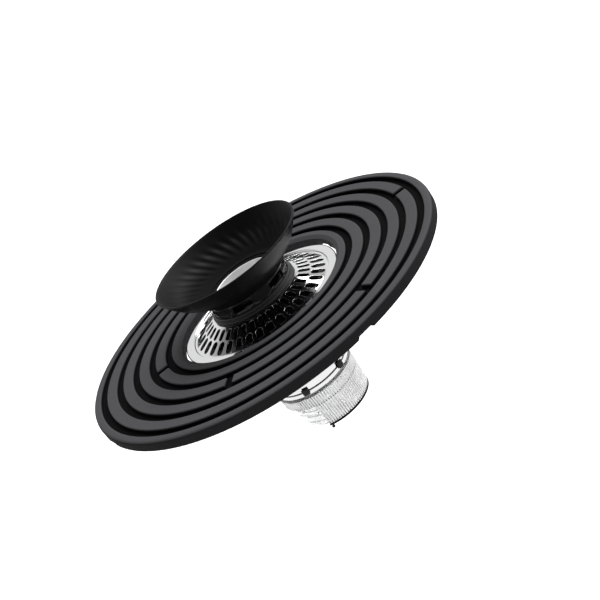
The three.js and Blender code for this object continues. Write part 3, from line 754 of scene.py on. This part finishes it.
def make_strainer():
    bm = bmesh.new()
    fine = SLOTS * 8
    crown = [(THROAT_BORE, CROWN_TOP, 0), (CROWN_RADIUS, CROWN_TOP), (ROWS_IN, cone_height(ROWS_IN), 0)]
    crown = softened(crown, CROWN_ROUND, 4)
    spin(bm, section(bm, crown, 0, False), FULL_TURN, fine)
    foot = [(ROWS_OUT, cone_height(ROWS_OUT), 0), (CONE_FOOT, CONE_FOOT_TOP), (RIM_RADIUS, CONE_FOOT_TOP, 0)]
    foot = softened(foot, FOOT_ROUND, 4)
    spin(bm, section(bm, foot, 0, False), FULL_TURN, fine)
    holed_band(bm, on_cone, SLOTS, 0, SLOT_TILE, ROWS_IN, ROW_EDGE, slot_outline(*INNER_SLOT))
    holed_band(bm, on_cone, SLOTS, SLOT_TILE / 2, SLOT_TILE, ROW_EDGE, ROWS_OUT, slot_outline(*OUTER_SLOT))
    piece = finish_piece(bm, "strainer_cone_slotted", "strainer", ["strainer_cone"], "polished_steel",
                         60)
    add_wall(piece, SHEET, SHEET_EDGE)


# ------------------------------------------------------------------ liner, collar base, collar, screws
LINER_WALL = 0.8
LINER_FOOT = 25.0
LINER_FOOT_THICKNESS = 0.7
BASE_BORE = 25.4
BASE_LOWER = 1.9
BASE_STEP = 1.1
COLLAR_WALL = 1.6
COLLAR_SHOULDER = 1.0
COLLAR_EDGE = 0.15
WINDOWS = 6
WINDOW_TILE = FULL_TURN / WINDOWS
WINDOW_FIRST = math.radians(-113)
WINDOW_HALF = 7.5
WINDOW_SILL = 1.4
WINDOW_HEIGHT = 4.4
WINDOW_ROUND = 1.1
COLLAR_SEAT = 22.7
SCREW_HEAD_HEIGHT = 1.4
SCREW_SHANK_FOOT = 1.05
SCREW_SHANK_DRAFT = 0.1
SCREW_RECESS_RIM = 1.1        # the recess for the driver, in the head's underside
SCREW_RECESS_DEPTH = 0.7
SCREW_RECESS_DRAFT = 0.05


def make_liner():
    foot, top = span_mm("throat_liner")[1:]
    bore = LINER_RADIUS - LINER_WALL
    seat = span_mm("collar_base")[1]
    shelf = seat + LINER_FOOT_THICKNESS
    outline = [(bore, foot), (LINER_RADIUS, foot), (LINER_RADIUS, seat), (LINER_FOOT, seat)]
    outline += [(LINER_FOOT, shelf), (LINER_RADIUS, shelf), (LINER_RADIUS, top), (bore, top)]
    turned("throat_liner_tube", outline, "strainer", ["throat_liner"], "brushed_liner", 0.3)


def make_collar_base():
    radius, foot, top = span_mm("collar_base")
    step = foot + BASE_LOWER
    outline = [(BASE_BORE, foot), (radius, foot, 0.4), (radius, step, 0.8)]
    outline += [(radius - BASE_STEP, step, 0.3), (radius - BASE_STEP, top, 0.8), (BASE_BORE, top)]
    turned("collar_base_ring", outline, "strainer", ["collar_base"], "base_black", 0.3, 200)


def make_collar():
    radius, foot, top = span_mm("funnel_collar")

    def on_wall(angle, level):
        return round_axis(angle, radius, level)

    sill = foot + WINDOW_SILL
    head = sill + WINDOW_HEIGHT
    corners = softened([(-WINDOW_HALF, sill), (WINDOW_HALF, sill), (WINDOW_HALF, head), (-WINDOW_HALF, head)],
                       WINDOW_ROUND, 7, 0)
    hole = [(point[0] / radius, point[1]) for point in corners]
    bm = bmesh.new()
    side = len(hole) // 4
    holed_band(bm, on_wall, WINDOWS, WINDOW_FIRST, WINDOW_TILE, foot, top - COLLAR_SHOULDER, hole, side)
    shoulder = [(radius, top - COLLAR_SHOULDER), (radius - COLLAR_SHOULDER, top), (COLLAR_SEAT, top)]
    start = WINDOW_FIRST - WINDOW_TILE / 2
    spin(bm, section(bm, shoulder, start, False), FULL_TURN, WINDOWS * side)
    piece = finish_piece(bm, "funnel_collar_windowed", "strainer", ["funnel_collar"], "gloss_black",
                         60)
    add_wall(piece, COLLAR_WALL, COLLAR_EDGE)


def make_screw(index):
    node = f"collar_screw_{index}"
    low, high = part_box(node)
    middle = (low + high) / 2
    head = (high.y - low.y) / 2
    tall = mm(SCREW_HEAD_HEIGHT)
    bm = bmesh.new()
    lift = Matrix.Translation((middle.x, middle.y, low.z + tall / 2))
    bmesh.ops.create_cone(bm, cap_ends=True, segments=24, radius1=head, radius2=head, depth=tall, matrix=lift)
    under = [face for face in bm.faces if face.normal.z < -0.9]
    bmesh.ops.inset_region(bm, faces=under, thickness=mm(SCREW_RECESS_RIM), depth=0)
    bmesh.ops.inset_region(bm, faces=under, thickness=mm(SCREW_RECESS_DRAFT), depth=-mm(SCREW_RECESS_DEPTH))
    over = [face for face in bm.faces if face.normal.z > 0.9]
    bmesh.ops.inset_region(bm, faces=over, thickness=head - mm(SCREW_SHANK_FOOT), depth=0)
    bmesh.ops.inset_region(bm, faces=over, thickness=mm(SCREW_SHANK_DRAFT), depth=high.z - low.z - tall)
    finish_piece(bm, f"{node}_turned", "strainer", [node], "brushed_liner")


# ------------------------------------------------------------------ funnel
FUNNEL_START = 27.8
FUNNEL_WALL = 1.5
FUNNEL_BELLY = ((0.27, 0.185), (0.67, 0.53))    # share of the reach and of the rise at the wall's two bends
LIP_HEIGHT = 0.8
LIP_WIDTH = 1.1
SPIGOT_RADIUS = 22.3
SPIGOT_LENGTH = 3.0
THROAT_STEP_WIDTH = 2.6
THROAT_FLOOR = 1.2            # above the funnel's seat
THROAT_STEP_TOP = 1.9
FLUTES = 40
FLUTE_STEPS = 12
FLUTE_DEPTH = 0.75
FLUTE_SWIRL = math.radians(17)
FLUTE_START = 31.0
FLUTE_END = 47.5


def sweep_curve(points, steps):
    """A smooth curve through its points, with the first and last points as its ends."""
    line = [Vector(p) for p in points]
    line = [line[0]] + line + [line[-1]]
    curve = []
    for index in range(1, len(line) - 2):
        a, b, c, d = line[index - 1:index + 3]
        for step in range(steps):
            t = step / steps
            curve.append(0.5 * (2 * b + (c - a) * t + (2 * a - 5 * b + 4 * c - d) * t * t
                                + (3 * b - a - 3 * c + d) * t * t * t))
    return curve + [line[-1]]


def make_funnel():
    radius, foot, top = span_mm("funnel")
    seat = foot + SPIGOT_LENGTH
    reach, rise = radius - FUNNEL_START, top - seat - LIP_HEIGHT
    bends = [(FUNNEL_START + reach * a, seat + rise * b) for a, b in FUNNEL_BELLY]
    outside = sweep_curve([(FUNNEL_START, seat)] + bends + [(radius, seat + rise)], 10)
    inside = []
    for index in range(2, len(outside) - 1):
        run = (outside[index + 1] - outside[index - 1]).normalized()
        inside.append((outside[index].x - run.y * FUNNEL_WALL, outside[index].y + run.x * FUNNEL_WALL, 0))
    throat, floor = THROAT_BORE + THROAT_STEP_WIDTH, seat + THROAT_FLOOR
    outline = [(THROAT_BORE, foot, 0.3), (SPIGOT_RADIUS, foot, 0.3), (SPIGOT_RADIUS, seat, 0.2)]
    outline += [(p.x, p.y, 0) for p in outside[:-1]]
    outline += [(radius, top - LIP_HEIGHT, 0.3), (radius, top, 0.35), (radius - LIP_WIDTH, top, 0.35)]
    outline += inside[::-1]
    outline += [(throat, seat + THROAT_STEP_TOP, 0.4), (throat, floor, 0.2), (THROAT_BORE, floor, 0.4)]
    bm = bmesh.new()
    spin(bm, section(bm, softened(outline, 0.3, 3)), FULL_TURN, FLUTES * FLUTE_STEPS)
    bmesh.ops.remove_doubles(bm, verts=bm.verts, dist=MERGE)
    bmesh.ops.recalc_face_normals(bm, faces=bm.faces)
    bm.normal_update()
    for vert in bm.verts:
        at, angle = off_axis(vert)
        height = vert.co.z / MM
        if vert.normal.z > 0.05 and height > seat + 1.5 and FLUTE_START < at < FLUTE_END:
            along = (at - FLUTE_START) / (FLUTE_END - FLUTE_START)
            fade = smooth(along / 0.25) * smooth((1 - along) / 0.5)
            wave = 0.5 + 0.5 * math.cos(FLUTES * (angle - FLUTE_SWIRL * along))
            vert.co -= vert.normal * mm(FLUTE_DEPTH) * fade * wave
    finish_piece(bm, "funnel_fluted", "funnel", ["funnel"], "funnel_black", 60)


# ------------------------------------------------------------------ outlet, lock ring, tabs
OUTLET_BORE = 23.0
OUTLET_LIP_HEIGHT = 2.6
LIP_BORE = 20.4
LOCK_SPIGOT_WALL = 1.2
LOCK_SPIGOT_LENGTH = 2.8
SEAL_BORE = 21.9
TAB_SEAT = 27.9
TAB_FACE = 29.0
TAB_HALF = 2.25


def make_outlet_ring():
    radius, foot, top = span_mm("outlet_ring")
    lip = foot + OUTLET_LIP_HEIGHT
    outline = [(LIP_BORE, foot), (radius, foot, 0.5), (radius, top, 1.0), (OUTLET_BORE, top)]
    outline += [(OUTLET_BORE, lip), (LIP_BORE, lip)]
    turned("outlet_ring_polished", outline, "drain", ["outlet_ring"], "satin_steel", 0.3)


def make_lock_ring():
    radius, foot, top = span_mm("lock_ring")
    ledge = foot + LOCK_SPIGOT_LENGTH
    spigot = LIP_BORE + LOCK_SPIGOT_WALL
    outline = [(LIP_BORE, foot), (spigot, foot), (spigot, ledge), (radius, ledge, 0.5)]
    outline += [(radius, top, 0.5), (LIP_BORE, top)]
    turned("lock_ring_polished", outline, "lock", ["lock_ring"], "satin_steel", 0.3)


def make_tab(index):
    node = f"lock_tab_{index}"
    low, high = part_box(node)
    foot, top = low.z / MM, high.z / MM
    middle = (low + high) / 2
    turn = math.atan2(middle.y, middle.x)
    half = TAB_HALF / TAB_FACE
    bm = bmesh.new()
    corners = [(TAB_SEAT, foot), (TAB_FACE, foot), (TAB_FACE, top), (TAB_SEAT, top)]
    spin(bm, section(bm, corners, turn - half), 2 * half, 6)
    close_ends(bm)
    bmesh.ops.recalc_face_normals(bm, faces=bm.faces)
    hard = [edge for edge in bm.edges if edge.calc_face_angle(0) > math.radians(45)]
    bmesh.ops.bevel(bm, geom=hard, affect="EDGES", offset=mm(0.3), segments=3, profile=0.5, material=-1)
    finish_piece(bm, f"{node}_pad", "lock", [node], "black_rubber")


# ------------------------------------------------------------------ sleeve, rim band, cup, lug
RIB_DEPTH = 0.7
RIB_END = 0.9                 # run over which a rib fades at a tier's edge
EDGE_DROP = 0.3
EDGE_RUN = 0.45
SLEEVE_BORE = 25.1
SLEEVE_WIDE = 28.3            # outside at its top, and at its foot
SLEEVE_NARROW = 26.8
CUTOUT_START = math.radians(-205)
CUTOUT_SPAN = math.radians(90)
CUP_RADIUS = 24.7
CUP_SHEET = 1.2
CUP_EDGE = 0.2
CUP_TIERS = 3
TIER_STEP = 0.45
CUP_LIP_HEIGHT = 1.2
CUP_LIP_REACH = 1.9
CUP_HOLES = 8
CUP_HOLE_RADIUS = 1.6
CUP_HOLE_CIRCLE = 12
CUP_HOLE_SIDE = 18            # points along each side of a hole's tile
HOLES_IN = 8                  # the floor's ring of holes, from its inner edge to its outer one
HOLES_OUT = 16


def make_sleeve():
    foot, top = span_mm("grip_sleeve")[1:]
    cut = top - TIER_HEIGHT

    def wall(level):
        return SLEEVE_NARROW + (SLEEVE_WIDE - SLEEVE_NARROW) * (level - foot) / (top - foot)

    levels = [foot, foot + 0.5, foot + 1.0, foot + 1.6]
    levels += [cut - 1.6, cut - 0.9, cut - 0.45, cut, cut + 0.45, cut + 0.9, cut + 1.6]
    levels += [top - 1.6, top - 0.9, top - 0.4, top]
    whole = [(wall(level), level) for level in levels]
    whole += [(SLEEVE_BORE, top), (SLEEVE_BORE, cut), (SLEEVE_BORE, foot)]
    upper = [point for point in whole if point[1] >= cut]
    bm = bmesh.new()
    spin(bm, section(bm, whole, CUTOUT_START + CUTOUT_SPAN), FULL_TURN - CUTOUT_SPAN, RIBS * 6)
    spin(bm, section(bm, upper, CUTOUT_START), CUTOUT_SPAN, RIBS * 2)
    close_ends(bm)
    for vert in bm.verts:
        at, angle = off_axis(vert)
        level = vert.co.z / MM
        if at > SLEEVE_BORE + 0.5:
            groove = 0.5 + 0.5 * math.cos(RIBS * angle)
            tier = min(abs(level - top), abs(level - cut), abs(level - foot))
            dip = RIB_DEPTH * groove * smooth(tier / RIB_END)
            set_radius(vert, at - dip - EDGE_DROP * smooth(1 - tier / EDGE_RUN))
    finish_piece(bm, "grip_sleeve_ribbed", "cup", ["grip_sleeve"], "ribbed_plastic", 50)


def make_rim_band():
    foot, top = span_mm("sleeve_rim")[1:]
    bm = bmesh.new()
    outline = [(SLEEVE_BORE, foot), (SLEEVE_NARROW, foot), (SLEEVE_NARROW, top), (SLEEVE_BORE, top)]
    edges = section(bm, softened(outline, 0.35, 3), CUTOUT_START + CUTOUT_SPAN)
    spin(bm, edges, FULL_TURN - CUTOUT_SPAN, 150)
    close_ends(bm)
    finish_piece(bm, "sleeve_rim_band", "cup", ["sleeve_rim"], "black_rubber")


def make_cup():
    foot, top = span_mm("catch_cup")[1:]
    straight = CUP_RADIUS - TIER_STEP * CUP_TIERS
    tile = FULL_TURN / CUP_HOLES
    start = -tile / 2
    steps = CUP_HOLES * CUP_HOLE_SIDE

    def on_floor(angle, radius):
        return round_axis(angle, radius, foot)

    hole = slot_outline(CUP_HOLE_CIRCLE, 2 * CUP_HOLE_RADIUS, 2 * CUP_HOLE_RADIUS, CUP_HOLE_SIDE)
    bm = bmesh.new()
    holed_band(bm, on_floor, CUP_HOLES, 0, tile, HOLES_IN, HOLES_OUT, hole, CUP_HOLE_SIDE)
    spin(bm, section(bm, [(CUP_HOLE_RADIUS, foot), (HOLES_IN, foot)], start, False), FULL_TURN, steps)
    wall = [(HOLES_OUT, foot, 0), (straight, foot, CUP_ROUND)]
    tiers_top = foot + CUP_ROUND + CUP_TIER * CUP_TIERS
    for tier in range(CUP_TIERS - 1, -1, -1):
        level = tiers_top - CUP_TIER * tier
        wall += [(CUP_RADIUS - TIER_STEP * (tier + 1), level, 0), (CUP_RADIUS - TIER_STEP * tier, level, 0)]
    lip = top - CUP_LIP_HEIGHT
    wall += [(CUP_RADIUS, lip, 0), (CUP_RADIUS + CUP_LIP_REACH, lip, 0)]
    spin(bm, section(bm, softened(wall, 0, 5), start, False), FULL_TURN, steps)
    piece = finish_piece(bm, "catch_cup_tiered", "cup", ["catch_cup"], "clear_plastic", 60)
    add_wall(piece, CUP_SHEET, CUP_EDGE)


def make_lug():
    low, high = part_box("stop_lug")
    middle = (low + high) / 2
    bm = bmesh.new()
    lift = Matrix.Translation(middle)
    width = (high.x - low.x) / 2
    bmesh.ops.create_uvsphere(bm, u_segments=28, v_segments=18, radius=width, matrix=lift)
    tall = (high.z - low.z) / 2 / width
    bmesh.ops.scale(bm, vec=(1, 1, tall), space=Matrix.Translation(-middle), verts=bm.verts)
    finish_piece(bm, "stop_lug_round", "cup", ["stop_lug"], "black_rubber")


# ------------------------------------------------------------------ put together
make_camera()
make_stage()
make_mat()
make_flange_ring()
make_drain_body()
make_washer("flange_gasket", GASKET_BORE, "drain", "black_rubber")
make_washer("sink_washer", NUT_BORE, "drain", "black_rubber", 0.6)
make_washer("friction_washer", NUT_BORE, "drain", "body_black", 0.2)
make_washer("neck_washer", NECK_BORE, "drain", "black_rubber")
make_washer("cup_seal", SEAL_BORE, "lock", "black_rubber", 0.4)
make_lock_nut()
make_strainer()
make_liner()
make_collar_base()
make_collar()
for number in (1, 2, 3):
    make_screw(number)
make_funnel()
make_outlet_ring()
make_lock_ring()
for number in range(1, 7):
    make_tab(number)
make_sleeve()
make_rim_band()
make_cup()
make_lug()
